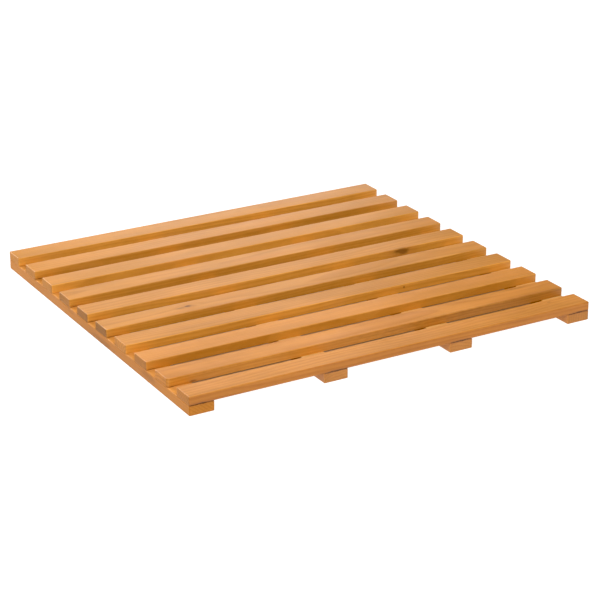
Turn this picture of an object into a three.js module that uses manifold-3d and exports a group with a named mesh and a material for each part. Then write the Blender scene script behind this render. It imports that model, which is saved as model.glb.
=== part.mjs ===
// A slatted wooden bath mat, or duckboard: a deck of slats screwed from below to four bearers.
// Millimetres, +Z up. The origin is at the centre of the footprint, on the floor. The slats
// run along X, the bearers along Y, and the front of the mat faces -Y.

import * as THREE from "three";
import { mergeVertices } from "three/addons/utils/BufferGeometryUtils.js";
import Module from "manifold-3d";

const wasm = await Module();
wasm.setup();

// The deck: slats side by side, with a drainage gap between neighbours.
const MAT_LENGTH = 525;
const MAT_DEPTH = 500;
const SLAT_COUNT = 10;
const SLAT_WIDTH = 30;
const SLAT_THICKNESS = 10.5;

// The bearers that the slats lie across. The outer two are flush with the slats' ends.
const BEARER_COUNT = 4;
const BEARER_WIDTH = 30;
const BEARER_THICKNESS = 12;

// Every long edge of the timber is eased by a small chamfer.
const EDGE_CHAMFER = 1.5;

// A countersunk wood screw, 3.5 x 19 mm, driven up through each crossing.
const SCREW_LENGTH = 19;
const SCREW_SINK = 0.5;
const HEAD_RADIUS = 3.35;
const HEAD_RIM = 0.3;
const SHANK_RADIUS = 1.75;
const SHANK_LENGTH = 8.5;
const CORE_RADIUS = 1.25;
const CORE_TAPER = 1;
const POINT_LENGTH = 3;
const RECESS_SPAN = 3.6;
const RECESS_WIDTH = 0.9;
const RECESS_DEPTH = 1.4;

// The drilled holes. HOLE_CLEARANCE is the air all round the screw.
const HOLE_CLEARANCE = 0.3;
const DRILL_POINT = 0.9;
const PILOT_SPARE = 0.1;
const ROUND_SIDES = 10;
const OVERCUT = 1;

// Places that follow from the sizes above.
const SLAT_PITCH = (MAT_DEPTH - SLAT_WIDTH) / (SLAT_COUNT - 1);
const BEARER_PITCH = (MAT_LENGTH - BEARER_WIDTH) / (BEARER_COUNT - 1);
const SCREW_TIP = SCREW_SINK + SCREW_LENGTH;
const slatY = (index) => (SLAT_WIDTH - MAT_DEPTH) / 2 + index * SLAT_PITCH;
const bearerX = (index) => (BEARER_WIDTH - MAT_LENGTH) / 2 + index * BEARER_PITCH;

// Finishes.
const SLAT_TONES = [0xd8924e, 0xdd9a55, 0xd68d49, 0xe0a05c, 0xda9550];
const BEARER_TONE = 0xc87f3c;
const SCREW_TONE = 0xb9bcc0;

// A closed three.js geometry as a solid that can be cut.
function toSolid(geometry) {
  const plain = geometry.clone();
  plain.deleteAttribute("normal");
  plain.deleteAttribute("uv");
  const merged = mergeVertices(plain, 1e-4);
  return new wasm.Manifold(
    new wasm.Mesh({
      numProp: 3,
      vertProperties: merged.attributes.position.array,
      triVerts: new Uint32Array(merged.index.array),
    }),
  );
}

// A cut solid back as a flat-shaded geometry.
function toGeometry(solid) {
  const mesh = solid.getMesh();
  const indexed = new THREE.BufferGeometry();
  indexed.setAttribute("position", new THREE.BufferAttribute(mesh.vertProperties, mesh.numProp));
  indexed.setIndex(new THREE.BufferAttribute(mesh.triVerts, 1));
  const flat = indexed.toNonIndexed();
  flat.computeVertexNormals();
  return flat;
}

// A round piece or hole about a vertical axis. The profile lists [radius, height] from the
// bottom of the axis to its top.
function turned(profile) {
  const points = profile.map(([radius, height]) => new THREE.Vector2(radius, height));
  return new THREE.LatheGeometry(points, ROUND_SIDES).rotateX(Math.PI / 2);
}

// A rectangle, width by height, with its corners chamfered, centred on the origin.
function easedSection(width, height) {
  const x = width / 2;
  const y = height / 2;
  const c = EDGE_CHAMFER;
  return new THREE.Shape([
    new THREE.Vector2(c - x, -y),
    new THREE.Vector2(x - c, -y),
    new THREE.Vector2(x, c - y),
    new THREE.Vector2(x, y - c),
    new THREE.Vector2(x - c, y),
    new THREE.Vector2(c - x, y),
    new THREE.Vector2(-x, y - c),
    new THREE.Vector2(-x, c - y),
  ]);
}

// A length of eased timber along Y, centred on the origin.
function timberAlongY(length, width, thickness) {
  return new THREE.ExtrudeGeometry(easedSection(width, thickness), {
    depth: length,
    bevelEnabled: false,
  })
    .translate(0, 0, -length / 2)
    .rotateX(Math.PI / 2);
}

// The countersunk clearance hole through a bearer, with its mouth at the underside, z = 0.
function bearerHole() {
  const mouth = HEAD_RADIUS + HOLE_CLEARANCE;
  const bore = SHANK_RADIUS + HOLE_CLEARANCE;
  const seat = SCREW_SINK + HEAD_RIM;
  return turned([
    [0, -OVERCUT],
    [mouth, -OVERCUT],
    [mouth, seat],
    [bore, seat + HEAD_RADIUS - SHANK_RADIUS],
    [bore, BEARER_THICKNESS + OVERCUT],
    [0, BEARER_THICKNESS + OVERCUT],
  ]);
}

// The blind pilot hole up into a slat, ending in the drill's point.
function slatHole() {
  const bore = CORE_RADIUS + HOLE_CLEARANCE;
  const depth = SCREW_TIP + PILOT_SPARE;
  return turned([
    [0, BEARER_THICKNESS - OVERCUT],
    [bore, BEARER_THICKNESS - OVERCUT],
    [bore, depth],
    [0, depth + DRILL_POINT],
  ]);
}

// The holes are cut one by one, each from a copy of the drill moved to its place.
function drilled(timber, drill, places) {
  let solid = toSolid(timber);
  for (const [x, y] of places) {
    solid = solid.subtract(toSolid(drill.clone().translate(x, y, 0)));
  }
  return toGeometry(solid);
}

function slatGeometry() {
  const timber = timberAlongY(MAT_LENGTH, SLAT_WIDTH, SLAT_THICKNESS)
    .rotateZ(Math.PI / 2)
    .translate(0, 0, BEARER_THICKNESS + SLAT_THICKNESS / 2);
  const places = Array.from({ length: BEARER_COUNT }, (_, index) => [bearerX(index), 0]);
  return drilled(timber, slatHole(), places);
}

function bearerGeometry() {
  const timber = timberAlongY(MAT_DEPTH, BEARER_WIDTH, BEARER_THICKNESS)
    .translate(0, 0, BEARER_THICKNESS / 2);
  const places = Array.from({ length: SLAT_COUNT }, (_, index) => [0, slatY(index)]);
  return drilled(timber, bearerHole(), places);
}

// The screw stands on its head, with its point up in the slat and a cross recess below.
function screwGeometry() {
  const rim = SCREW_SINK + HEAD_RIM;
  const shankEnd = SCREW_SINK + SHANK_LENGTH;
  const body = turned([
    [0, SCREW_SINK],
    [HEAD_RADIUS, SCREW_SINK],
    [HEAD_RADIUS, rim],
    [SHANK_RADIUS, rim + HEAD_RADIUS - SHANK_RADIUS],
    [SHANK_RADIUS, shankEnd],
    [CORE_RADIUS, shankEnd + CORE_TAPER],
    [CORE_RADIUS, SCREW_TIP - POINT_LENGTH],
    [0, SCREW_TIP],
  ]);
  const depth = RECESS_DEPTH + OVERCUT;
  const height = SCREW_SINK - OVERCUT + depth / 2;
  const wing = new THREE.BoxGeometry(RECESS_SPAN, RECESS_WIDTH, depth).translate(0, 0, height);
  const crossWing = wing.clone().rotateZ(Math.PI / 2);
  return toGeometry(toSolid(body).subtract(toSolid(wing)).subtract(toSolid(crossWing)));
}

// Each piece has its own geometry and its own material.
function piece(name, geometry, color, roughness, metalness) {
  const material = new THREE.MeshStandardMaterial({ color, roughness, metalness });
  const mesh = new THREE.Mesh(geometry.clone(), material);
  mesh.name = name;
  return mesh;
}

const mat = new THREE.Group();

const slatShape = slatGeometry();
for (let slat = 0; slat < SLAT_COUNT; slat += 1) {
  const name = `slat_${String(slat + 1).padStart(2, "0")}`;
  const board = piece(name, slatShape, SLAT_TONES[slat % SLAT_TONES.length], 0.55, 0);
  board.position.y = slatY(slat);
  mat.add(board);
}

const bearerShape = bearerGeometry();
for (let bearer = 0; bearer < BEARER_COUNT; bearer += 1) {
  const board = piece(`bearer_${bearer + 1}`, bearerShape, BEARER_TONE, 0.6, 0);
  board.position.x = bearerX(bearer);
  mat.add(board);
}

const screwShape = screwGeometry();
for (let bearer = 0; bearer < BEARER_COUNT; bearer += 1) {
  for (let slat = 0; slat < SLAT_COUNT; slat += 1) {
    const name = `screw_b${bearer + 1}_s${String(slat + 1).padStart(2, "0")}`;
    const screw = piece(name, screwShape, SCREW_TONE, 0.35, 1);
    screw.position.set(bearerX(bearer), slatY(slat), 0);
    mat.add(screw);
  }
}

export default mat;
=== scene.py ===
"""A slatted wooden bath mat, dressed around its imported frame.

Ten oiled slats lie across four bearers and are screwed to them from below. Each board is modelled
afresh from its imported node's box, with eased edges, bored holes and its own cut of timber, and each
screw gets its cross recess and its thread. Lengths are in metres, +Z is up and +X runs along the
slats.
"""

from __future__ import annotations

import logging
import math
from contextlib import contextmanager
from dataclasses import dataclass, field, replace
from enum import Enum
from typing import Callable, Iterator, Sequence

import bmesh
import bpy
from mathutils import Euler, Matrix, Quaternion, Vector

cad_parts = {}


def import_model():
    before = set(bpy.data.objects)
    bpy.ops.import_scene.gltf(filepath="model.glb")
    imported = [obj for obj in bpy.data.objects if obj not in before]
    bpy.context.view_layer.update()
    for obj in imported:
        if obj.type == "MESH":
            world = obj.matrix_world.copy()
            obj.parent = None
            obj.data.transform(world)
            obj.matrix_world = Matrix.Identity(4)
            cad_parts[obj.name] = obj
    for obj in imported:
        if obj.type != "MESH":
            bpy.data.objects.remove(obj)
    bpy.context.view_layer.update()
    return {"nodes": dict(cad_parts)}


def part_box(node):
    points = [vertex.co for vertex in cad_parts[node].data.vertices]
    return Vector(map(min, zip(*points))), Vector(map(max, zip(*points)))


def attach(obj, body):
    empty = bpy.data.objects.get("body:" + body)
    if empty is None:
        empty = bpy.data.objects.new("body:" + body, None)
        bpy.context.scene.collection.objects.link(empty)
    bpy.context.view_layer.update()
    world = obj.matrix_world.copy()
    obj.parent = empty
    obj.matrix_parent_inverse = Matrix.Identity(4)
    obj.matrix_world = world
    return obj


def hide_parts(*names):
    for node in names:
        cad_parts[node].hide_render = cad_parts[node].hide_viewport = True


LOG = logging.getLogger("bath_mat")
MM = 0.001
BODY = "root"

Socket = bpy.types.NodeSocket
Colour = tuple[float, float, float]
Value = Socket | float
Paint = Socket | Colour

WHITE: Colour = (1.0, 1.0, 1.0)
SHARP = math.radians(40)  # edges that turn by more than this are eased
ALIGNED = 0.99  # the cosine above which an edge runs a given way
NEAR = 0.1 * MM  # how close to a face an edge lies on it
HALF_WIDTH = 0.015  # half the width of every board
SLAT_TOP = 0.0053  # a slat's top face, above its middle


# ---------------------------------------------------------------------------------------------
# Bench work: the few operator habits that every piece shares
# ---------------------------------------------------------------------------------------------


def put_down_everything() -> None:
    """Deselect every object, so that an operator acts on one piece only."""
    bpy.ops.object.select_all(action="DESELECT")


def take_up(piece: bpy.types.Object) -> None:
    """Make one piece the only selected and the active object."""
    put_down_everything()
    piece.select_set(True)
    bpy.context.view_layer.objects.active = piece


def settle(piece: bpy.types.Object) -> None:
    """Move a piece's place, turn and scale into its mesh."""
    take_up(piece)
    bpy.ops.object.transform_apply(location=True, rotation=True, scale=True)


@contextmanager
def editing(piece: bpy.types.Object) -> Iterator[None]:
    """Open a piece in edit mode with nothing selected, and close it again.

    Args:
        piece: The mesh object to work on.
    """
    take_up(piece)
    bpy.ops.object.mode_set(mode="EDIT")
    bpy.ops.mesh.select_mode(type="EDGE")
    bpy.ops.mesh.select_all(action="DESELECT")
    try:
        yield
    finally:
        bpy.ops.object.mode_set(mode="OBJECT")


def pick_edges(
    piece: bpy.types.Object, test: Callable[[Vector, Vector], bool], narrow: bool = False
) -> None:
    """Select the edges of the piece in edit mode that pass a test, and let go of the rest.

    Args:
        piece: The object that is in edit mode.
        test: Takes an edge's middle and its direction, and says whether it is wanted.
        narrow: Whether to choose only among the edges that are selected already.
    """
    shape = bmesh.from_edit_mesh(piece.data)
    for edge in shape.edges:
        start, end = (vert.co for vert in edge.verts)
        wanted = test((start + end) / 2, (end - start).normalized())
        edge.select_set(wanted and (edge.select or not narrow))
    shape.select_flush_mode()
    bmesh.update_edit_mesh(piece.data)


def apply_modifier(piece: bpy.types.Object, kind: str, **settings: object) -> None:
    """Add one modifier to a piece and apply it.

    Args:
        piece: The object that the modifier shapes.
        kind: The modifier's type, such as BOOLEAN.
        **settings: Properties to set on it first.
    """
    take_up(piece)
    modifier = piece.modifiers.new(kind.title(), kind)
    for key, value in settings.items():
        setattr(modifier, key, value)
    bpy.ops.object.modifier_apply(modifier=modifier.name)


def bore(piece: bpy.types.Object, cutter: bpy.types.Object) -> None:
    """Cut one piece with another and throw the cutter away."""
    apply_modifier(piece, "BOOLEAN", operation="DIFFERENCE", solver="EXACT", object=cutter)
    bpy.data.objects.remove(cutter)


def join_into(piece: bpy.types.Object, others: Sequence[bpy.types.Object]) -> None:
    """Join other pieces into one piece's mesh.

    Args:
        piece: The piece that stays.
        others: The pieces that are used up.
    """
    take_up(piece)
    for other in others:
        other.select_set(True)
    bpy.ops.object.join()


def copy_of(piece: bpy.types.Object, name: str, place: Matrix) -> bpy.types.Object:
    """Copy a piece with a mesh of its own.

    Args:
        piece: The pattern piece, at the origin.
        name: The copy's name.
        place: Where the copy's mesh goes.

    Returns:
        The copy, whose object stays at the origin.
    """
    twin = piece.copy()
    twin.data = piece.data.copy()
    twin.name = name
    twin.data.name = name
    twin.data.transform(place)
    bpy.context.scene.collection.objects.link(twin)
    return twin


def smooth(piece: bpy.types.Object, crease: float = math.radians(35)) -> None:
    """Shade a piece smooth, with its large faces kept flat.

    Args:
        piece: The mesh object to shade.
        crease: The angle above which an edge stays sharp.
    """
    take_up(piece)
    bpy.ops.object.shade_smooth_by_angle(angle=crease)
    apply_modifier(piece, "WEIGHTED_NORMAL", keep_sharp=True, weight=90)


@dataclass(frozen=True)
class Ring:
    """One station of a turned piece: its radius and its height on the axis."""

    radius: float
    height: float


class Turning:
    """A round piece about a vertical axis, drawn up ring by ring from its lowest face."""

    POINT = 1e-6  # the radius that stands for none

    def __init__(self, name: str, rings: Sequence[Ring], sides: int) -> None:
        """Note the piece's rings, from the bottom up."""
        self.name = name
        self.rings = rings
        self.sides = sides

    def build(self) -> bpy.types.Object:
        """Extrude a filled circle from ring to ring.

        Returns:
            The closed piece, on the Z axis.
        """
        put_down_everything()
        foot = self.rings[0]
        bpy.ops.mesh.primitive_circle_add(
            vertices=self.sides, radius=foot.radius, fill_type="NGON", location=(0, 0, foot.height)
        )
        piece = bpy.context.active_object
        piece.name = self.name
        settle(piece)
        with editing(piece):
            bpy.ops.mesh.select_all(action="SELECT")
            for below, above in zip(self.rings, self.rings[1:]):
                self._draw_up(below, above)
            bpy.ops.mesh.select_all(action="SELECT")
            bpy.ops.mesh.remove_doubles(threshold=5 * self.POINT)
            bpy.ops.mesh.normals_make_consistent(inside=False)
        return piece

    def _draw_up(self, below: Ring, above: Ring) -> None:
        """Extrude the selected face to the next ring and size it.

        Args:
            below: The ring that the face is on.
            above: The ring that it goes to.
        """
        rise = (0, 0, above.height - below.height)
        bpy.ops.mesh.extrude_region_move(TRANSFORM_OT_translate={"value": rise})
        ratio = max(above.radius, self.POINT) / max(below.radius, self.POINT)
        bpy.ops.transform.resize(value=(ratio, ratio, 1), center_override=(0, 0, above.height))


# ---------------------------------------------------------------------------------------------
# Finishes
# ---------------------------------------------------------------------------------------------


class NodeDesk:
    """Lays out one material's nodes and joins them up."""

    def __init__(self, name: str) -> None:
        """Start an empty material with its output and its shader."""
        self.material = bpy.data.materials.new(name)
        self.material.use_nodes = True
        self.tree = self.material.node_tree
        self.tree.nodes.clear()
        self.output = self.node("ShaderNodeOutputMaterial")
        self.shader = self.node("ShaderNodeBsdfPrincipled")
        self.tree.links.new(self.shader.outputs["BSDF"], self.output.inputs["Surface"])

    def node(self, kind: str, **settings: object) -> bpy.types.Node:
        """Add one node and set its properties.

        Args:
            kind: The node's type.
            **settings: Properties to set on it.

        Returns:
            The node.
        """
        made = self.tree.nodes.new(kind)
        for key, value in settings.items():
            setattr(made, key, value)
        return made

    def feed(self, socket: Socket, value: Value | Paint | Vector) -> None:
        """Link a socket to another, or set it to a plain value.

        Args:
            socket: The input to fill.
            value: A node's output, a number, a colour or a vector.
        """
        if isinstance(value, bpy.types.NodeSocket):
            self.tree.links.new(value, socket)
        elif socket.type == "RGBA":
            socket.default_value = (*value, 1.0)
        else:
            socket.default_value = value

    def sum(self, operation: str, *values: Value, clamp: bool = False) -> Socket:
        """Do one step of arithmetic on numbers.

        Args:
            operation: The Math node's operation, such as MULTIPLY.
            *values: Its inputs in order.
            clamp: Whether the answer is held between 0 and 1.

        Returns:
            The answer's socket.
        """
        made = self.node("ShaderNodeMath", operation=operation, use_clamp=clamp)
        for socket, value in zip(made.inputs, values):
            self.feed(socket, value)
        return made.outputs["Value"]

    def _vector(self, operation: str, *values: Socket | Vector) -> bpy.types.Node:
        """Do one step of arithmetic on vectors.

        Args:
            operation: The Vector Math node's operation, such as ADD.
            *values: Its inputs in order.

        Returns:
            The node, with both its outputs.
        """
        made = self.node("ShaderNodeVectorMath", operation=operation)
        for socket, value in zip(made.inputs, values):
            self.feed(socket, value)
        return made

    def stretch(self, vector: Socket, factors: Vector) -> Socket:
        """Scale a vector by a factor on each axis."""
        return self._vector("MULTIPLY", vector, factors).outputs["Vector"]

    def shift(self, vector: Socket, offset: Socket | Vector) -> Socket:
        """Add an offset to a vector."""
        return self._vector("ADD", vector, offset).outputs["Vector"]

    def span(self, vector: Socket) -> Socket:
        """Give a vector's length."""
        return self._vector("LENGTH", vector).outputs["Value"]

    def place(self, kind: str = "Object") -> Socket:
        """Give the place on the piece, or another of its coordinates."""
        return self.node("ShaderNodeTexCoord").outputs[kind]

    def split(self, vector: Socket) -> bpy.types.NodeOutputs:
        """Take a vector apart into its X, Y and Z."""
        parts = self.node("ShaderNodeSeparateXYZ")
        self.feed(parts.inputs["Vector"], vector)
        return parts.outputs

    def noise(
        self, vector: Socket, cells: Colour, detail: float = 2.0, roughness: float = 0.5
    ) -> Socket:
        """Give smooth noise, centred on one half.

        Args:
            vector: The place.
            cells: How many cells of noise go in a metre, on each axis.
            detail: How many finer layers are added.
            roughness: How strong the finer layers are.

        Returns:
            The noise's socket.
        """
        stretched = self.stretch(vector, Vector(cells))
        made = self.node("ShaderNodeTexNoise")
        self.feed(made.inputs["Vector"], stretched)
        self.feed(made.inputs["Scale"], 1.0)
        self.feed(made.inputs["Detail"], detail)
        self.feed(made.inputs["Roughness"], roughness)
        return made.outputs["Fac"]

    def fade(
        self, value: Value, start: float, end: float, low: float = 0.0, high: float = 1.0
    ) -> Socket:
        """Turn a value smoothly from low to high as it goes from start to end.

        Args:
            value: The value that is followed.
            start: Where the answer begins to change.
            end: Where it stops changing.
            low: The answer before the start.
            high: The answer after the end.

        Returns:
            The answer's socket.
        """
        made = self.node("ShaderNodeMapRange", interpolation_type="SMOOTHSTEP")
        names = ("Value", "From Min", "From Max", "To Min", "To Max")
        for name, item in zip(names, (value, start, end, low, high)):
            self.feed(made.inputs[name], item)
        return made.outputs["Result"]

    def blend(self, share: Value, under: Paint, over: Paint, kind: str = "MIX") -> Socket:
        """Lay one colour over another.

        Args:
            share: How much of the upper colour shows, 0 to 1.
            under: The lower colour.
            over: The upper colour.
            kind: The way they mix, such as MULTIPLY.

        Returns:
            The mixed colour's socket.
        """
        made = self.node("ShaderNodeMix", data_type="RGBA", blend_type=kind)
        self.feed(made.inputs["Factor"], share)
        self.feed(made.inputs["A"], under)
        self.feed(made.inputs["B"], over)
        return made.outputs["Result"]

    def grey(self, value: Socket) -> Socket:
        """Turn a number into a grey colour."""
        made = self.node("ShaderNodeCombineColor")
        for name in ("Red", "Green", "Blue"):
            self.feed(made.inputs[name], value)
        return made.outputs["Color"]

    def emboss(self, height: Socket, strength: float, depth: float) -> None:
        """Give the shader relief.

        Args:
            height: The height over the surface.
            strength: How much of the relief shows.
            depth: The depth of a height of one.
        """
        bump = self.node("ShaderNodeBump")
        for name, item in zip(("Height", "Strength", "Distance"), (height, strength, depth)):
            self.feed(bump.inputs[name], item)
        self.feed(self.shader.inputs["Normal"], bump.outputs["Normal"])


def shade_of(colour: Colour, tone: float) -> Colour:
    """Make a colour lighter or darker by one factor."""
    return (colour[0] * tone, colour[1] * tone, colour[2] * tone)


def warmed(colour: Colour, warmth: float) -> Colour:
    """Make a colour redder: less green, and less blue by twice as much."""
    return (colour[0], colour[1] / warmth, colour[2] / warmth**2)


class Sawn(Enum):
    """How a board was sawn from the log: where the log's heart lies, across and below it."""

    FLAT = (0.008, -0.055)
    RIFT = (0.045, -0.050)
    QUARTER = (0.085, -0.006)
    BACK_FLAT = (-0.012, -0.070)
    BACK_RIFT = (-0.050, -0.038)


class Run(Enum):
    """The way a board's grain runs in the mat, as a turn about +Z."""

    ALONG_X = 0.0
    ALONG_Y = math.pi / 2


@dataclass(frozen=True)
class Mark:
    """A knot or streak in a board, or a patch of painted shade on it.

    Attributes:
        place: Its middle, along, across and up from the board's own middle.
        reach: Its half size the same three ways.
        strength: How dark it is, 0 to 1.
        push: How far the growth rings bend round it.
    """

    place: Colour
    reach: Colour
    strength: float = 0.8
    push: float = 0.0


@dataclass(frozen=True)
class OiledWood:
    """Honey-coloured softwood under a satin oil.

    Attributes:
        early: The wide, pale part of each growth ring.
        late: The narrow, dark part of each growth ring.
        side: What the colour is multiplied by on side faces: painted shade, which turns them more
            orange than the top.
        edge_highlight: What the colour is multiplied by along the upper edges: a painted highlight.
        end: What the colour is multiplied by on end grain.
        heart: The colour in the middle of a knot.
        halo: The colour round a knot.
        streak: The colour of the dark fibres.
        blush: The colour of the redder drifts.
        ring_spacing: The distance between growth rings.
        ring_show: How strongly the rings show on the faces.
        fibre_show: How strongly the fine fibres show.
        gloss: The roughness of the oiled face.
    """

    early: Colour = (0.655, 0.291, 0.0745)
    late: Colour = (0.530, 0.210, 0.0460)
    side: Colour = (0.985, 1.005, 0.80)
    edge_highlight: Colour = (1.15, 1.20, 1.25)
    end: Colour = (0.83, 0.76, 0.51)
    heart: Colour = (0.070, 0.030, 0.016)
    halo: Colour = (0.36, 0.130, 0.040)
    streak: Colour = (0.36, 0.120, 0.036)
    blush: Colour = (0.66, 0.290, 0.110)
    ring_spacing: float = 3.4 * MM
    ring_show: float = 0.42
    fibre_show: float = 0.17
    gloss: float = 0.42

    def dress(self, board: Board, seed: int) -> bpy.types.Material:
        """Make one board's own cut of this wood.

        Args:
            board: The board that wears it, with its run, cut, tones and marks.
            seed: Which stretch of the log it comes from.

        Returns:
            The board's material.
        """
        desk = NodeDesk(f"{board.name}_wood")
        local = self._board_space(desk, board)
        log = desk.shift(local, Vector((seed * 1.37, 0.0, 0.0)))
        marks = [self._mark(desk, local, mark) for mark in board.marks]
        ring, wander = self._rings(desk, log, board, marks)
        fibre = self._fibres(desk, log, wander)
        facing = self._facing(desk, board)
        face = self._face_colour(desk, log, ring, fibre, board)
        end_show = facing["end"]
        # Painted light: the top face is made lighter and paler.
        top = warmed(shade_of(WHITE, math.sqrt(board.painted_top_light)), 1 / board.painted_top_light)
        topped = desk.blend(facing["top"], face, top, "MULTIPLY")
        # Painted shade: the side faces are darkened and reddened by the shaded side colour and the
        # board's side tone.
        side = warmed(shade_of(self.side, board.side_tone), board.side_warmth)
        sided = desk.blend(facing["side"], topped, side, "MULTIPLY")
        # Painted highlight: the upper long edges are made lighter.
        edge_lit = desk.blend(facing["edge_highlight"], sided, self.edge_highlight, "MULTIPLY")
        ended = self._end_colour(desk, local, edge_lit, ring, end_show, board.end_tone)
        marked = self._marked_colour(desk, ended, marks)
        desk.feed(desk.shader.inputs["Base Color"], marked)
        desk.feed(desk.shader.inputs["Specular IOR Level"], board.polish)
        self._surface(desk, local, ring, fibre, end_show, marks)
        return desk.material

    @staticmethod
    def _board_space(desk: NodeDesk, board: Board) -> Socket:
        """Give the place on the board: along its grain, across it and up, from its middle.

        Args:
            desk: The material's nodes.
            board: The board, for its middle and its run.

        Returns:
            The place's socket.
        """
        place = desk.place()
        mapping = desk.node("ShaderNodeMapping", vector_type="TEXTURE")
        desk.feed(mapping.inputs["Vector"], place)
        desk.feed(mapping.inputs["Location"], board.middle)
        desk.feed(mapping.inputs["Rotation"], Euler((0.0, 0.0, board.run.value)))
        return mapping.outputs["Vector"]

    @staticmethod
    def _mark(desk: NodeDesk, local: Socket, mark: Mark) -> tuple[Mark, Socket]:
        """Give a mark with the distance from it, in units of its own reach.

        Args:
            desk: The material's nodes.
            local: The place on the board.
            mark: The mark.

        Returns:
            The mark, and the distance, made ragged.
        """
        centred = desk.shift(local, -Vector(mark.place))
        scaled = desk.stretch(centred, Vector([1 / size for size in mark.reach]))
        ragged = desk.noise(local, (120.0, 500.0, 500.0))
        distance = desk.sum("ADD", desk.span(scaled), desk.sum("MULTIPLY_ADD", ragged, 0.9, -0.45))
        return mark, distance

    def _rings(
        self, desk: NodeDesk, log: Socket, board: Board, marks: Sequence[tuple[Mark, Socket]]
    ) -> tuple[Socket, Socket]:
        """Draw the growth rings as shells round the log's heart, bent by its wander and knots.

        Args:
            desk: The material's nodes.
            log: The place in the log.
            board: The board, for how it was sawn.
            marks: The board's marks with the distance from each.

        Returns:
            How much latewood shows, and how far the grain wanders here.
        """
        across, below = board.sawn.value
        heart = desk.shift(log, Vector((0.0, -across, -below)))
        radius = desk.span(desk.stretch(heart, Vector((0.0, 1.0, 1.0))))
        slow = desk.noise(log, (3.2, 16.0, 16.0))
        wander = desk.sum("MULTIPLY_ADD", slow, 0.022, -0.011)
        reach = desk.sum("ADD", radius, wander)
        for mark, distance in marks:
            if mark.push:
                reach = desk.sum("ADD", reach, desk.fade(distance, 0.0, 4.0, mark.push, 0.0))
        count = desk.sum("DIVIDE", reach, self.ring_spacing)
        uneven = desk.noise(log, (1.5, 60.0, 60.0), 1.0)
        phase = desk.sum("FRACT", desk.sum("ADD", count, desk.sum("MULTIPLY", uneven, 0.9)))
        rise = desk.fade(phase, 0.25, 0.88)
        fall = desk.fade(phase, 0.90, 1.0, 1.0, 0.0)
        return desk.sum("MULTIPLY", rise, fall), wander

    @staticmethod
    def _fibres(desk: NodeDesk, log: Socket, wander: Socket) -> Socket:
        """Draw the fine fibres, long and thin.

        Args:
            desk: The material's nodes.
            log: The place in the log.
            wander: How far the grain wanders here, which the fibres follow.

        Returns:
            How pale the fibre is here, about one half on average.
        """
        drift = desk.node("ShaderNodeCombineXYZ")
        desk.feed(drift.inputs["Y"], wander)
        desk.feed(drift.inputs["Z"], wander)
        carried = desk.shift(log, drift.outputs["Vector"])
        broad = desk.noise(carried, (9.0, 420.0, 420.0), 3.0, 0.6)
        fine = desk.noise(carried, (38.0, 1900.0, 1900.0), 2.0, 0.6)
        return desk.sum("ADD", desk.sum("MULTIPLY", broad, 0.6), desk.sum("MULTIPLY", fine, 0.4))

    @staticmethod
    def _facing(desk: NodeDesk, board: Board) -> dict[str, Socket]:
        """Tell side faces, end grain and the top apart by the way they face.

        Args:
            desk: The material's nodes.
            board: The board, for the way it runs.

        Returns:
            The shares of side face, end grain, top face and upper long edge, each 0 to 1.
        """
        parts = desk.split(desk.place("Normal"))
        along, across = ("X", "Y") if board.run is Run.ALONG_X else ("Y", "X")
        end = desk.fade(desk.sum("ABSOLUTE", parts[along]), 0.55, 0.85)
        sideways = desk.sum("ABSOLUTE", parts[across])
        side = desk.fade(sideways, 0.20, 0.70)
        top = desk.fade(parts["Z"], 0.50, 0.90)
        edge_highlight = desk.fade(desk.sum("MULTIPLY", sideways, parts["Z"]), 0.22, 0.46)
        return {"end": end, "side": side, "top": top, "edge_highlight": edge_highlight}

    def _face_colour(
        self, desk: NodeDesk, log: Socket, ring: Socket, fibre: Socket, board: Board
    ) -> Socket:
        """Colour the face from its rings, fibres and slow drifts of tone.

        Args:
            desk: The material's nodes.
            log: The place in the log.
            ring: How much latewood shows.
            fibre: How pale the fibre is.
            board: The board, for its tone, warmth and figure.

        Returns:
            The colour's socket.
        """
        tone = board.tone
        early = warmed(shade_of(self.early, tone), board.warmth)
        late = warmed(shade_of(self.late, tone), board.warmth)
        ringed = desk.blend(desk.sum("MULTIPLY", ring, self.ring_show * board.figure), early, late)
        streak = desk.fade(fibre, 0.34, 0.66, self.fibre_show * board.figure, 0.0)
        fibred = desk.blend(streak, ringed, self.streak)
        patch = desk.noise(log, (7.0, 26.0, 26.0), 3.0, 0.55)
        drift = desk.fade(patch, 0.30, 0.70, 0.90, 1.07)
        drifted = desk.blend(1.0, fibred, desk.grey(drift), "MULTIPLY")
        blush = desk.fade(desk.noise(log, (11.0, 70.0, 70.0)), 0.5, 0.8)
        share = desk.sum("MULTIPLY", blush, 0.35)
        return desk.blend(share, drifted, shade_of(self.blush, tone))

    def _end_colour(
        self,
        desk: NodeDesk,
        local: Socket,
        face: Socket,
        ring: Socket,
        end_show: Socket,
        tone: float,
    ) -> Socket:
        """Darken the end grain, with its rings plain to see and its pores as specks.

        Args:
            desk: The material's nodes.
            local: The place on the board.
            face: The colour before.
            ring: How much latewood shows.
            end_show: Where the surface is end grain.
            tone: How light the end grain is.

        Returns:
            The colour's socket.
        """
        pores = desk.noise(local, (300.0, 1500.0, 1500.0), 2.0, 0.7)
        speck = desk.fade(pores, 0.35, 0.60, 0.88, 1.03)
        arcs = desk.sum("MULTIPLY_ADD", ring, -0.08, 1.01)
        whole = desk.sum("MULTIPLY", speck, arcs)
        cut = desk.blend(1.0, shade_of(self.end, tone), desk.grey(whole), "MULTIPLY")
        dulled = desk.blend(1.0, face, cut, "MULTIPLY")
        return desk.blend(end_show, face, dulled)

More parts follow.
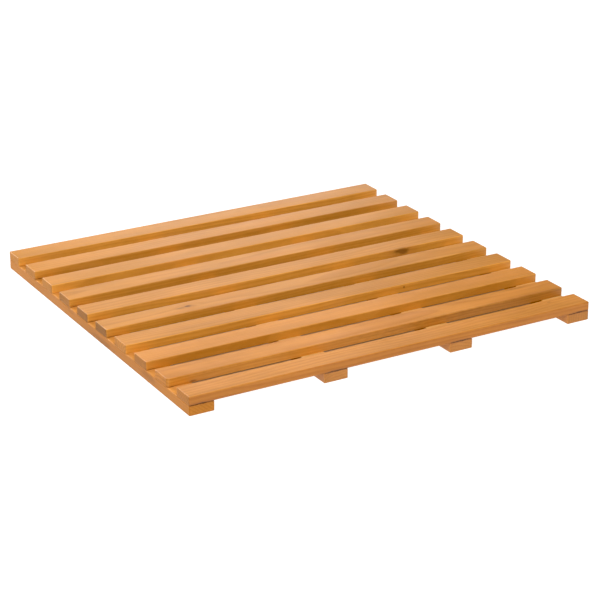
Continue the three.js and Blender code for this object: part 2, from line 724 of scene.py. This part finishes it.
    def _marked_colour(
        self, desk: NodeDesk, face: Socket, marks: Sequence[tuple[Mark, Socket]]
    ) -> Socket:
        """Lay the knots, streaks and patches of painted shade over the face, each with a soft brown
        halo.

        Args:
            desk: The material's nodes.
            face: The colour before.
            marks: The board's marks with the distance from each.

        Returns:
            The colour's socket.
        """
        colour = face
        for mark, distance in marks:
            halo = desk.fade(distance, 0.7, 2.2, 0.45 * mark.strength, 0.0)
            colour = desk.blend(halo, colour, self.halo)
            core = desk.fade(distance, 0.35, 1.05, mark.strength, 0.0)
            colour = desk.blend(core, colour, self.heart)
        return colour

    def _surface(
        self,
        desk: NodeDesk,
        local: Socket,
        ring: Socket,
        fibre: Socket,
        end_show: Socket,
        marks: Sequence[tuple[Mark, Socket]],
    ) -> None:
        """Give the wood its gloss, and relief from its fibres, rings and knots.

        Args:
            desk: The material's nodes.
            local: The place on the board.
            ring: How much latewood shows.
            fibre: How pale the fibre is.
            end_show: Where the surface is end grain.
            marks: The board's marks with the distance from each.
        """
        cloud = desk.noise(local, (14.0, 60.0, 60.0))
        worn = desk.sum("MULTIPLY_ADD", cloud, 0.16, self.gloss - 0.08)
        grained = desk.sum("ADD", worn, desk.sum("MULTIPLY_ADD", fibre, 0.20, -0.10))
        dull = desk.sum("MULTIPLY_ADD", end_show, 0.22, grained)
        desk.feed(desk.shader.inputs["Roughness"], desk.sum("MAXIMUM", dull, 0.15))
        relief = desk.sum("MULTIPLY_ADD", ring, 0.35, fibre)
        for mark, distance in marks:
            hollow = desk.fade(distance, 0.3, 1.2, -0.5 * mark.strength, 0.0)
            relief = desk.sum("ADD", relief, hollow)
        desk.emboss(relief, 0.35, 0.12 * MM)


@dataclass(frozen=True)
class ZincPlate:
    """Bright zinc on steel, with a passivated tint and fine specks.

    Attributes:
        bright: The colour of the fresh plating.
        dull: The colour of the patches that have gone dull.
        tint: The yellowish colour of the passivated patches.
        gloss: The plating's roughness.
    """

    bright: Colour = (0.70, 0.70, 0.66)
    dull: Colour = (0.50, 0.50, 0.50)
    tint: Colour = (0.66, 0.60, 0.44)
    gloss: float = 0.30

    def dress(self) -> bpy.types.Material:
        """Make the plating, which every screw wears.

        Returns:
            The material.
        """
        desk = NodeDesk("zinc_plate")
        place = desk.place()
        cloud = desk.noise(place, (420.0, 420.0, 420.0), 3.0)
        speck = desk.noise(place, (2600.0, 2600.0, 2600.0))
        patched = desk.blend(desk.fade(cloud, 0.35, 0.65), self.bright, self.dull)
        tinted = desk.blend(desk.fade(cloud, 0.55, 0.80, 0.0, 0.5), patched, self.tint)
        desk.feed(desk.shader.inputs["Base Color"], tinted)
        desk.feed(desk.shader.inputs["Metallic"], 1.0)
        rough = desk.sum("MULTIPLY_ADD", speck, 0.30, self.gloss - 0.15)
        uneven = desk.sum("ADD", rough, desk.sum("MULTIPLY", cloud, 0.1))
        desk.feed(desk.shader.inputs["Roughness"], uneven)
        desk.emboss(speck, 0.2, 0.02 * MM)
        return desk.material


# ---------------------------------------------------------------------------------------------
# The screw and the holes that it goes in
# ---------------------------------------------------------------------------------------------


@dataclass(frozen=True)
class ScrewSizes:
    """A countersunk wood screw standing on its head, and its holes."""

    sink: float = 0.5 * MM
    length: float = 19 * MM
    head_radius: float = 3.35 * MM
    rim: float = 0.3 * MM
    edge: float = 0.12 * MM
    shank_radius: float = 1.75 * MM
    shank_end: float = 9.0 * MM
    core_radius: float = 1.25 * MM
    taper: float = 1.0 * MM
    point: float = 3.0 * MM
    thread_pitch: float = 1.4 * MM
    recess_span: float = 3.6 * MM
    recess_width: float = 0.9 * MM
    recess_depth: float = 1.4 * MM
    clearance: float = 0.3 * MM
    drill_point: float = 0.9 * MM
    overcut: float = 1.0 * MM

    @property
    def tip(self) -> float:
        """The height of the screw's point."""
        return self.sink + self.length

    @property
    def neck(self) -> float:
        """The height where the cone of the head meets the shank."""
        return self.sink + self.rim + self.head_radius - self.shank_radius


class HoleMaker:
    """Makes the drills that bore the bearers and the slats."""

    SIDES = 32

    def __init__(self, sizes: ScrewSizes, joint_height: float) -> None:
        """Note the screw and the height where slat and bearer meet."""
        self.sizes = sizes
        self.joint_height = joint_height

    def countersink(self) -> bpy.types.Object:
        """Turn the drill for a bearer: a countersunk clearance hole right through.

        Returns:
            The drill, on the Z axis.
        """
        s = self.sizes
        mouth = s.head_radius + s.clearance
        shank = s.shank_radius + s.clearance
        seat = s.sink + s.rim
        rings = [
            Ring(mouth, -s.overcut),
            Ring(mouth, seat),
            Ring(shank, s.neck),
            Ring(shank, self.joint_height + s.overcut),
        ]
        return Turning("countersink_drill", rings, self.SIDES).build()

    def pilot(self) -> bpy.types.Object:
        """Turn the drill for a slat: a blind hole that ends in the drill's point.

        Returns:
            The drill, on the Z axis.
        """
        s = self.sizes
        core = s.core_radius + s.clearance
        rings = [
            Ring(core, self.joint_height - s.overcut),
            Ring(core, s.tip),
            Ring(0.0, s.tip + s.drill_point),
        ]
        return Turning("pilot_drill", rings, self.SIDES).build()

    @staticmethod
    def row_of(drill: bpy.types.Object, places: Sequence[Vector]) -> bpy.types.Object:
        """Set copies of a drill at each place and join them into one cutter.

        Args:
            drill: The drill, which is used up.
            places: Where the holes go.

        Returns:
            The cutter.
        """
        copies = [
            copy_of(drill, f"drill_{index}", Matrix.Translation(place))
            for index, place in enumerate(places)
        ]
        join_into(copies[0], copies[1:])
        bpy.data.objects.remove(drill)
        return copies[0]


class WoodScrew:
    """One screw, made once as a pattern and then copied to every crossing."""

    SIDES = 24
    THREAD_STEPS = 14

    def __init__(self, sizes: ScrewSizes) -> None:
        """Note the screw's sizes."""
        self.sizes = sizes

    def pattern(self) -> bpy.types.Object:
        """Model the screw on the Z axis.

        Returns:
            The finished pattern, without a material.
        """
        screw = self._blank()
        bore(screw, self._recess(0.0))
        bore(screw, self._recess(math.pi / 2))
        self._cut_thread(screw)
        smooth(screw)
        return screw

    def _blank(self) -> bpy.types.Object:
        """Turn the head, shank, core and point.

        Returns:
            The screw without its recess and thread.
        """
        s = self.sizes
        rings = [
            Ring(s.head_radius - s.edge, s.sink),
            Ring(s.head_radius, s.sink + s.edge),
            Ring(s.head_radius, s.sink + s.rim),
            Ring(s.shank_radius, s.neck),
            Ring(s.shank_radius, s.shank_end),
            Ring(s.core_radius, s.shank_end + s.taper),
            Ring(s.core_radius, s.tip - s.point),
            Ring(0.0, s.tip),
        ]
        return Turning("screw_pattern", rings, self.SIDES).build()

    def _recess(self, turn: float) -> bpy.types.Object:
        """Shape one wing of the cross recess, which narrows towards its floor.

        Args:
            turn: The wing's turn about the screw's axis.

        Returns:
            The wing, as a cutter.
        """
        s = self.sizes
        depth = s.recess_depth + s.overcut
        middle = s.sink - s.overcut + depth / 2
        put_down_everything()
        bpy.ops.mesh.primitive_cube_add(
            size=1.0,
            location=(0, 0, middle),
            rotation=(0, 0, turn),
            scale=(s.recess_span, s.recess_width, depth),
        )
        wing = bpy.context.active_object
        settle(wing)
        floor = s.sink + s.recess_depth
        with editing(wing):
            pick_edges(wing, lambda centre, way: centre.z > floor - 0.01 * MM)
            bpy.ops.transform.resize(value=(0.55, 0.55, 1), center_override=(0, 0, floor))
        return wing

    def _cut_thread(self, screw: bpy.types.Object) -> None:
        """Wind a thread round the core and weld it on.

        Args:
            screw: The screw that gets it.
        """
        s = self.sizes
        start = s.shank_end + s.taper
        turns = int((s.tip - s.point - start) / s.thread_pitch)
        depth = s.shank_radius - s.core_radius
        put_down_everything()
        bpy.ops.mesh.primitive_circle_add(
            vertices=3,
            radius=depth,
            fill_type="NOTHING",
            location=(s.core_radius + depth * 0.35, 0, start),
            rotation=(math.pi / 2, math.pi / 2, 0),
        )
        thread = bpy.context.active_object
        settle(thread)
        apply_modifier(
            thread,
            "SCREW",
            axis="Z",
            screw_offset=s.thread_pitch,
            iterations=turns,
            steps=self.THREAD_STEPS,
            render_steps=self.THREAD_STEPS,
        )
        with editing(thread):
            bpy.ops.mesh.select_all(action="SELECT")
            bpy.ops.mesh.fill_holes(sides=0)
            bpy.ops.mesh.select_all(action="SELECT")
            bpy.ops.mesh.normals_make_consistent(inside=False)
        apply_modifier(screw, "BOOLEAN", operation="UNION", solver="EXACT", object=thread)
        bpy.data.objects.remove(thread)


# ---------------------------------------------------------------------------------------------
# Boards
# ---------------------------------------------------------------------------------------------


@dataclass
class Board:
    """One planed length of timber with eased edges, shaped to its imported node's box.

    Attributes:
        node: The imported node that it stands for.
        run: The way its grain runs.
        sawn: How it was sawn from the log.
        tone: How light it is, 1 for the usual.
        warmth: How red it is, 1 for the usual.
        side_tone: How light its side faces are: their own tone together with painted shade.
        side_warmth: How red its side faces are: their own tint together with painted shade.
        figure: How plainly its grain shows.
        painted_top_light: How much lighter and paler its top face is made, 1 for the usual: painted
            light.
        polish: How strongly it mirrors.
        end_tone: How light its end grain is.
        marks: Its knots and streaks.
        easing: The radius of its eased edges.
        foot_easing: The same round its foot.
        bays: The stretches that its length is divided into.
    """

    node: str
    run: Run
    sawn: Sawn = Sawn.FLAT
    tone: float = 1.0
    warmth: float = 1.0
    side_tone: float = 1.0
    side_warmth: float = 1.0
    figure: float = 1.15
    painted_top_light: float = 1.0
    polish: float = 0.35
    end_tone: float = 1.0
    marks: tuple[Mark, ...] = ()
    easing: float = 1.1 * MM
    foot_easing: float = 0.5 * MM
    bays: int = 21
    low: Vector = field(init=False)
    high: Vector = field(init=False)

    def __post_init__(self) -> None:
        """Read the board's box from its node."""
        self.low, self.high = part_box(self.node)

    @property
    def name(self) -> str:
        """The name of the visible board."""
        return f"oiled_{self.node}"

    @property
    def middle(self) -> Vector:
        """The middle of the board."""
        return (self.low + self.high) / 2

    @property
    def way(self) -> Vector:
        """The direction that the board runs in."""
        return Vector((1, 0, 0)) if self.run is Run.ALONG_X else Vector((0, 1, 0))

    def build(self, cutter: bpy.types.Object) -> bpy.types.Object:
        """Plane, divide, ease, wear and bore the board.

        Args:
            cutter: The drills for its screw holes, joined, which are used up.

        Returns:
            The finished board, without a material.
        """
        put_down_everything()
        bpy.ops.mesh.primitive_cube_add(size=1.0, location=self.middle, scale=self.high - self.low)
        board = bpy.context.active_object
        board.name = self.name
        board.data.name = self.name
        settle(board)
        with editing(board):
            pick_edges(board, lambda centre, way: abs(way.dot(self.way)) > ALIGNED)
            bpy.ops.mesh.subdivide(number_cuts=self.bays)
        self._wear_corners(board)
        self._ease(board)
        bore(board, cutter)
        smooth(board)
        return board

    def _wear_corners(self, board: bpy.types.Object) -> None:
        """Leave the corners square: a board with a worn corner says so itself."""

    def _ease(self, board: bpy.types.Object) -> None:
        """Round every sharp edge by the easing radius, but the ones round the foot by less.

        Args:
            board: The board, with square edges.
        """
        with editing(board):
            bpy.ops.mesh.edges_select_sharp(sharpness=SHARP)
            pick_edges(board, lambda centre, way: centre.z - self.low.z > NEAR, narrow=True)
            bpy.ops.mesh.bevel(offset=self.easing, segments=3, profile=0.5, affect="EDGES")
        with editing(board):
            bpy.ops.mesh.edges_select_sharp(sharpness=SHARP)
            bpy.ops.mesh.bevel(offset=self.foot_easing, segments=2, profile=0.5, affect="EDGES")


@dataclass
class Slat(Board):
    """A slat of the deck.

    Attributes:
        worn_corner: The radius of its upright corner at the front left, where it is worn round.
    """

    run: Run = Run.ALONG_X
    worn_corner: float = 0.0

    def _wear_corners(self, board: bpy.types.Object) -> None:
        """Round the upright corner at the front left more than the rest.

        Args:
            board: The board, with square edges.
        """
        if not self.worn_corner:
            return
        left, front = self.low.x, self.low.y
        with editing(board):
            pick_edges(
                board,
                lambda centre, way: abs(way.z) > ALIGNED
                and abs(centre.x - left) < NEAR
                and abs(centre.y - front) < NEAR,
            )
            bpy.ops.mesh.bevel(offset=self.worn_corner, segments=4, profile=0.5, affect="EDGES")


@dataclass
class Bearer(Board):
    """A bearer under the deck."""

    run: Run = Run.ALONG_Y


# ---------------------------------------------------------------------------------------------
# Sub-assemblies
# ---------------------------------------------------------------------------------------------


def joint_shade(along: float, reach: float) -> Mark:
    """Darken the lower front edge of a slat, as painted shade in its joint with a bearer."""
    return Mark((along, -HALF_WIDTH, -0.0056), (reach, 2.0 * MM, 1.8 * MM), 0.88)


@dataclass
class Deck:
    """The slats that the bather stands on, from the front one to the back one.

    Attributes:
        wood: The finish of every slat.
        holes: The drills.
        crossings: How far along X each bearer lies.
        slot: The record's material slot; not used.
        seed: Where in the log the first slat comes from.
    """

    wood: OiledWood
    holes: HoleMaker
    crossings: Sequence[float]
    slot: str = "slat_wood"
    seed: int = 3

    def slats(self) -> list[Slat]:
        """Choose each slat's cut, tone and marks.

        Returns:
            The slats from front to back.
        """
        small = 1.2 * MM
        # Painted shade in the joints with the bearers: at the left end, and over each bearer.
        corner_shade = joint_shade(-0.2565, 9 * MM)
        foot_shades = tuple(joint_shade(x, 20 * MM) for x in self.crossings)
        return [
            Slat(
                "slat_01", sawn=Sawn.RIFT, tone=0.97, warmth=1.02, side_tone=0.79,
                side_warmth=1.18, figure=1.5, end_tone=1.06,
                marks=(
                    Mark((0.2212, 0.0079, SLAT_TOP), (3 * MM, 2 * MM, 6 * MM), 0.25, 1.5 * MM),
                    *foot_shades,
                ),
            ),
            Slat(
                "slat_02", sawn=Sawn.BACK_FLAT, warmth=1.04, side_tone=1.03,
                figure=1.4, end_tone=1.15, worn_corner=3.5 * MM,
                marks=(
                    Mark((-0.2315, -HALF_WIDTH, -0.0035), (5 * MM, 3 * MM, 1.5 * MM), 0.55),
                    Mark((0.213, 0.010, SLAT_TOP), (22 * MM, 1.6 * MM, 3 * MM), 0.30),
                    # Painted shade: the front face grows darker towards the right end.
                    Mark((0.25, -HALF_WIDTH, 0.0), (290 * MM, 2 * MM, 14 * MM), 0.30),
                    corner_shade,
                ),
            ),
            Slat(
                "slat_03", sawn=Sawn.QUARTER, tone=1.03, warmth=1.03, side_tone=0.94,
                end_tone=0.81, marks=(corner_shade,),
            ),
            Slat(
                "slat_04", sawn=Sawn.BACK_RIFT, tone=0.95, warmth=0.99, side_tone=1.15,
                end_tone=1.13,
                marks=(
                    Mark((0.1054, -HALF_WIDTH, 0.0014), (small, 2 * MM, small), 0.95, 0.6 * MM),
                ),
            ),
            Slat(
                "slat_05", sawn=Sawn.FLAT, tone=0.96, warmth=0.98, side_tone=0.93, end_tone=0.65,
                marks=(
                    Mark(
                        (-0.1505, 0.0012, SLAT_TOP), (5.5 * MM, 2.8 * MM, 9 * MM), 0.72, 3.5 * MM
                    ),
                    Mark((-0.161, 0.0000, SLAT_TOP), (7.0 * MM, 2.6 * MM, 9 * MM), 0.36),
                    corner_shade,
                ),
            ),
            Slat(
                "slat_06", sawn=Sawn.RIFT, tone=0.98, warmth=0.98, side_tone=1.06, end_tone=0.68,
                marks=(
                    Mark((0.169, -HALF_WIDTH, 0.0010), (15 * MM, 3 * MM, 6 * MM), 0.60, 1.5 * MM),
                    corner_shade,
                ),
            ),
            Slat(
                "slat_07", sawn=Sawn.BACK_FLAT, warmth=0.98, side_tone=0.88, end_tone=0.8,
                marks=(corner_shade,),
            ),
            Slat(
                "slat_08", sawn=Sawn.QUARTER, tone=1.02, warmth=0.97, side_tone=1.12,
                end_tone=0.93,
            ),
            Slat(
                "slat_09", sawn=Sawn.RIFT, tone=1.01, warmth=0.98, side_tone=0.88, end_tone=0.94,
                marks=(corner_shade,),
            ),
            Slat("slat_10", sawn=Sawn.BACK_RIFT, warmth=0.97, side_tone=1.10, end_tone=1.07),
        ]

    def build(self) -> None:
        """Build, dress and fix every slat."""
        for number, slat in enumerate(self.slats(), start=1):
            row = slat.middle.y
            places = [Vector((x, row, 0.0)) for x in self.crossings]
            board = slat.build(HoleMaker.row_of(self.holes.pilot(), places))
            board.data.materials.append(self.wood.dress(slat, self.seed + number))
            fix(board, slat.node)


@dataclass
class BearerFrame:
    """The bearers that carry the deck, from left to right.

    Attributes:
        wood: The finish of every bearer.
        holes: The drills.
        crossings: How far along Y each slat lies.
        slot: The record's material slot; not used.
        seed: Where in the log the first bearer comes from.
    """

    wood: OiledWood
    holes: HoleMaker
    crossings: Sequence[float]
    slot: str = "bearer_wood"
    seed: int = 40

    def bearers(self) -> list[Bearer]:
        """Choose each bearer's cut, tone and marks.

        Returns:
            The bearers from left to right.
        """
        # Painted shade along the top of each bearer's front end, under the front slat.
        foot = Mark((-0.2500, 0.0, 0.0062), (1.8 * MM, 45 * MM, 1.3 * MM), 0.85)
        outer = Bearer(
            "bearer_1", sawn=Sawn.RIFT, tone=0.98, side_tone=0.74, side_warmth=1.05,
            figure=0.5, polish=0.12,
            marks=(
                Mark((-0.150, HALF_WIDTH, 0.001), (26 * MM, 3 * MM, 5 * MM), 0.22),
                Mark((-0.030, HALF_WIDTH, -0.002), (40 * MM, 3 * MM, 4 * MM), 0.26),
                Mark((0.060, HALF_WIDTH, 0.003), (15 * MM, 3 * MM, 3 * MM), 0.14),
                # Painted shade along the foot of its outer side, where it stands on the floor.
                Mark((-0.010, HALF_WIDTH, -0.0066), (290 * MM, 3 * MM, 1.5 * MM), 0.50),
                foot,
            ),
        )
        cuts = (Sawn.BACK_FLAT, 1.0), (Sawn.FLAT, 0.96), (Sawn.QUARTER, 0.98)
        return [outer] + [
            Bearer(
                f"bearer_{number}", sawn=sawn, tone=tone, side_tone=0.78, painted_top_light=1.3,
                figure=0.5, polish=0.55, marks=(foot,),
            )
            for number, (sawn, tone) in enumerate(cuts, start=2)
        ]

    def build(self) -> None:
        """Build, dress and fix every bearer."""
        for number, bearer in enumerate(self.bearers(), start=1):
            column = bearer.middle.x
            places = [Vector((column, y, 0.0)) for y in self.crossings]
            board = bearer.build(HoleMaker.row_of(self.holes.countersink(), places))
            board.data.materials.append(self.wood.dress(bearer, self.seed + number))
            fix(board, bearer.node)


@dataclass
class ScrewSet:
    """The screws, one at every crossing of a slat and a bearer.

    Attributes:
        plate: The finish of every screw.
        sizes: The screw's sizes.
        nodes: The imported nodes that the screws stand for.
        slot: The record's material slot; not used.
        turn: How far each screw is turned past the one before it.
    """

    plate: ZincPlate
    sizes: ScrewSizes
    nodes: Sequence[str]
    slot: str = "screw_steel"
    turn: float = math.radians(47)

    def build(self) -> None:
        """Make one pattern screw and set a copy of it in every hole."""
        pattern = WoodScrew(self.sizes).pattern()
        pattern.data.materials.append(self.plate.dress())
        for number, node in enumerate(self.nodes):
            low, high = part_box(node)
            middle = (low + high) / 2
            turned = Matrix.Rotation(number * self.turn, 4, "Z")
            place = Matrix.Translation((middle.x, middle.y, 0.0)) @ turned
            screw = copy_of(pattern, f"zinc_{node}", place)
            fix(screw, node)
        bpy.data.objects.remove(pattern)


def fix(piece: bpy.types.Object, node: str) -> None:
    """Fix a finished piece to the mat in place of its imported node.

    Args:
        piece: The piece, with its place in its mesh.
        node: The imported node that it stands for.
    """
    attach(piece, BODY)
    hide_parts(node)
    LOG.info("%s: %d faces", piece.name, len(piece.data.polygons))


# ---------------------------------------------------------------------------------------------
# The studio
# ---------------------------------------------------------------------------------------------


@dataclass(frozen=True)
class Lamp:
    """A soft square white lamp, aimed at the middle of the mat."""

    name: str
    place: Vector
    width: float
    power: float

    def hang(self) -> None:
        """Hang the lamp and point it at the mat."""
        light = bpy.data.lights.new(self.name, "AREA")
        light.shape = "SQUARE"
        light.size = self.width
        light.energy = self.power
        lamp = bpy.data.objects.new(self.name, light)
        lamp.location = self.place
        lamp.rotation_euler = (-self.place).to_track_quat("-Z", "Y").to_euler()
        bpy.context.scene.collection.objects.link(lamp)


@dataclass(frozen=True)
class ViewPoint:
    """A long lens looking down at the mat's front left corner.

    Attributes:
        azimuth: Its bearing, from -Y towards +X.
        elevation: Its height above the floor, as an angle.
        roll: Its turn about its own axis.
        distance: How far it is from its aim.
        aim: The point on the floor that it looks at.
        lens: Its focal length in millimetres.
        sensor: The width of its film in millimetres.
    """

    azimuth: float = math.radians(-29.73)
    elevation: float = math.radians(22.183)
    roll: float = math.radians(-0.21)
    distance: float = 2.3426
    aim: Vector = field(default_factory=lambda: Vector((-0.0004, -0.02656, 0.0)))
    lens: float = 116.41
    sensor: float = 36.0

    def set_up(self) -> None:
        """Place the camera and make it the scene's own."""
        level = math.cos(self.elevation)
        east, north = math.sin(self.azimuth) * level, -math.cos(self.azimuth) * level
        back = Vector((east, north, math.sin(self.elevation)))
        film = bpy.data.cameras.new("camera")
        film.lens = self.lens
        film.sensor_width = self.sensor
        film.clip_start = 0.05
        film.clip_end = 60.0
        camera = bpy.data.objects.new("camera", film)
        camera.location = self.aim + back * self.distance
        camera.rotation_mode = "QUATERNION"
        level_view = (-back).to_track_quat("-Z", "Y")
        camera.rotation_quaternion = level_view @ Quaternion((0, 0, 1), self.roll)
        bpy.context.scene.collection.objects.link(camera)
        bpy.context.scene.camera = camera


@dataclass
class Studio:
    """A white sweep under soft light.

    Attributes:
        floor_side: The floor's side.
        floor_glow: How strongly the floor glows.
        floor_white: How much light the floor sends back.
        painted_shadow_colour: The floor's colour under the mat: a painted shadow, tinted with painted
            bounce light from the wood.
        painted_bounce_glow: The colour of the faint glow under the mat: painted bounce light.
        under_x: Where along X the floor turns from the one to the other.
        under_y: The same along Y.
        under_middle: The middle of the floor under the mat, along Y.
        sky: The strength of the sky.
        black_level: The value that is shown as black.
        view: The camera's place.
        lamps: The lamps.
    """

    floor_side: float = 40.0
    floor_glow: float = 0.97
    floor_white: float = 0.20
    painted_shadow_colour: Colour = (0.50, 0.39, 0.28)
    painted_bounce_glow: Colour = (0.04, 0.022, 0.010)
    under_x: tuple[float, float] = (0.245, 0.264)
    under_y: tuple[float, float] = (0.237, 0.245)
    under_middle: float = 0.02
    sky: float = 0.03
    black_level: float = 0.018
    view: ViewPoint = field(default_factory=ViewPoint)
    lamps: tuple[Lamp, ...] = (
        Lamp("key_lamp", Vector((-0.45, -1.22, 1.78)), 1.4, 42.5),
        Lamp("low_lamp", Vector((-1.17, -1.67, 0.82)), 1.0, 6.0),
        Lamp("fill_lamp", Vector((0.89, -1.27, 1.56)), 1.0, 7.0),
        Lamp("rim_lamp", Vector((-0.87, 1.50, 1.00)), 0.9, 36.0),
        Lamp("sheen_lamp", Vector((0.83, 1.77, 0.42)), 0.8, 4.0),
    )

    def set_up(self) -> None:
        """Set up the camera, the floor, the sky and the lamps."""
        self.view.set_up()
        self._lay_floor()
        self._hang_sky()
        for lamp in self.lamps:
            lamp.hang()
        film = bpy.context.scene.view_settings
        film.view_transform = "Standard"
        film.use_curve_mapping = True
        film.curve_mapping.black_level = (self.black_level,) * 3
        film.curve_mapping.update()

    def _lay_floor(self) -> None:
        """Lay a white floor that glows a little, so that shadows on it stay faint; under the mat it
        carries a painted shadow with painted bounce light.
        """
        put_down_everything()
        bpy.ops.mesh.primitive_plane_add(size=self.floor_side, location=(0, 0, 0))
        floor = bpy.context.active_object
        floor.name = "studio_floor"
        desk = NodeDesk("white_sweep")
        parts = desk.split(desk.place())
        # Painted shadow under the mat: no glow there, and a darker, warmer colour.
        beside = desk.fade(desk.sum("ABSOLUTE", parts["X"]), *self.under_x)
        depth = desk.sum("ABSOLUTE", desk.sum("ADD", parts["Y"], -self.under_middle))
        outside = desk.sum("MAXIMUM", beside, desk.fade(depth, *self.under_y))
        colour = desk.blend(outside, self.painted_shadow_colour, (self.floor_white,) * 3)
        glow = desk.blend(outside, self.painted_bounce_glow, WHITE)
        desk.feed(desk.shader.inputs["Base Color"], colour)
        desk.feed(desk.shader.inputs["Roughness"], 1.0)
        desk.feed(desk.shader.inputs["Specular IOR Level"], 0.0)
        desk.feed(desk.shader.inputs["Emission Color"], glow)
        desk.feed(desk.shader.inputs["Emission Strength"], self.floor_glow)
        floor.data.materials.append(desk.material)

    def _hang_sky(self) -> None:
        """Surround the mat with an even white sky."""
        world = bpy.data.worlds.new("white_sky")
        world.use_nodes = True
        sky = world.node_tree.nodes["Background"]
        sky.inputs["Color"].default_value = (*WHITE, 1.0)
        sky.inputs["Strength"].default_value = self.sky
        bpy.context.scene.world = world


# ---------------------------------------------------------------------------------------------
# The mat
# ---------------------------------------------------------------------------------------------


def middle_of(node: str) -> Vector:
    """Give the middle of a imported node's box."""
    low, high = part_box(node)
    return (low + high) / 2


def main() -> None:
    """Load the frame and build the mat around it."""
    logging.basicConfig(level=logging.INFO, format="%(name)s: %(message)s")
    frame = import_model()
    nodes = sorted(frame["nodes"])
    slats = [name for name in nodes if name.startswith("slat_")]
    bearers = [name for name in nodes if name.startswith("bearer_")]
    screws = [name for name in nodes if name.startswith("screw_")]
    rows = [middle_of(name).y for name in slats]
    columns = [middle_of(name).x for name in bearers]

    wood = OiledWood()
    sizes = ScrewSizes()
    holes = HoleMaker(sizes, joint_height=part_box(slats[0])[0].z)
    Studio().set_up()
    # The bearers get their own painted shade on the side faces, and no painted edge highlight.
    bearer_wood = replace(wood, side=(1.10, 1.0, 0.65), end=(0.745, 0.66, 0.51), edge_highlight=WHITE)
    BearerFrame(bearer_wood, holes, rows).build()
    Deck(wood, holes, columns).build()
    ScrewSet(ZincPlate(), sizes, screws).build()


if __name__ == "__main__":
    main()
